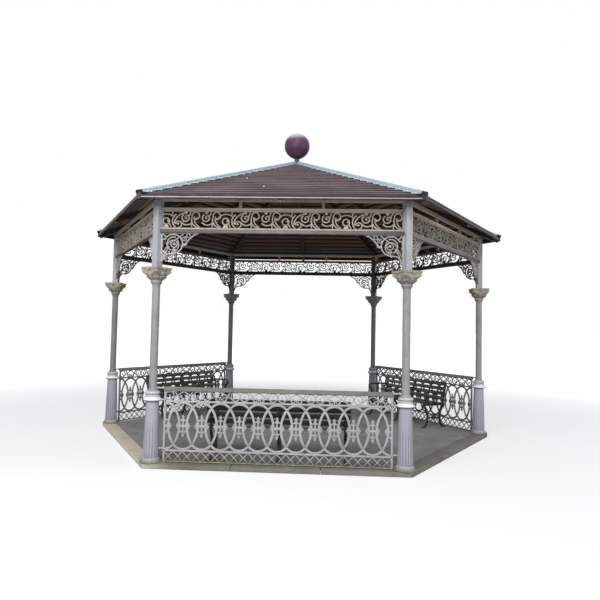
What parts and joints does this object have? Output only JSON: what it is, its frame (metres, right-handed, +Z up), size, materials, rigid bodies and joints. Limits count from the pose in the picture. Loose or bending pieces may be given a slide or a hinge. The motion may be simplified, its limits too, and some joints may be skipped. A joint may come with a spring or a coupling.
{
  "type": "gazebo",
  "caption": "Open hexagonal park gazebo with cast fluted columns, scrollwork friezes and railings, slatted benches, a ribbed sheet roof and a ball finial.",
  "frame": {"origin": "centre of the floor slab on the ground", "axes": "+Z up, +X from corner to corner towards the right-hand column, +Y towards the back; the front railing faces -Y"},
  "size_m": [6.9348, 6.0182, 5.0866],
  "materials": {
    "concrete": "worn grey cement floor, matte",
    "kerb_concrete": "pale beige kerb, matte, dusty",
    "cast_paint": "pale lavender-grey paint on cast metal, chipped at the foot",
    "trim_paint": "warm pale grey paint on cast panels, dusty",
    "bench_green": "dark green gloss paint, worn",
    "dark_steel": "dark brown paint",
    "roof_sheet": "maroon-brown coated ribbed sheet, weathered",
    "flashing": "pale blue-grey flashing, weathered",
    "ball_paint": "glossy dark maroon paint"
  },
  "bodies": {
    "root": {"floor_slab": "concrete", "kerb": "kerb_concrete", "column_front_left": "cast_paint", "column_front_right": "cast_paint", "column_right": "cast_paint", "column_back_right": "cast_paint", "column_back_left": "cast_paint", "column_left": "cast_paint", "upper_posts": "cast_paint", "frieze_front": "trim_paint", "frieze_right_front": "trim_paint", "frieze_right_back": "trim_paint", "frieze_back": "trim_paint", "frieze_left_back": "trim_paint", "frieze_left_front": "trim_paint", "brackets_front": "trim_paint", "brackets_right_front": "trim_paint", "brackets_right_back": "trim_paint", "brackets_back": "trim_paint", "brackets_left_back": "trim_paint", "brackets_left_front": "trim_paint", "railing_front": "cast_paint", "railing_right_back": "cast_paint", "railing_left_back": "cast_paint", "bench_frames": "bench_green", "bench_slats_front": "bench_green", "bench_slats_right_back": "bench_green", "bench_slats_left_back": "bench_green", "eave_studs": "trim_paint", "ring_beam": "trim_paint", "hip_rafters": "dark_steel", "mid_rafters": "dark_steel", "roof_front": "roof_sheet", "roof_right_front": "roof_sheet", "roof_right_back": "roof_sheet", "roof_back": "roof_sheet", "roof_left_back": "roof_sheet", "roof_left_front": "roof_sheet", "fascia": "roof_sheet", "hip_caps": "flashing", "apex_hub": "dark_steel", "finial_neck": "dark_steel", "finial_ball": "ball_paint"}
  },
  "joints": []
}
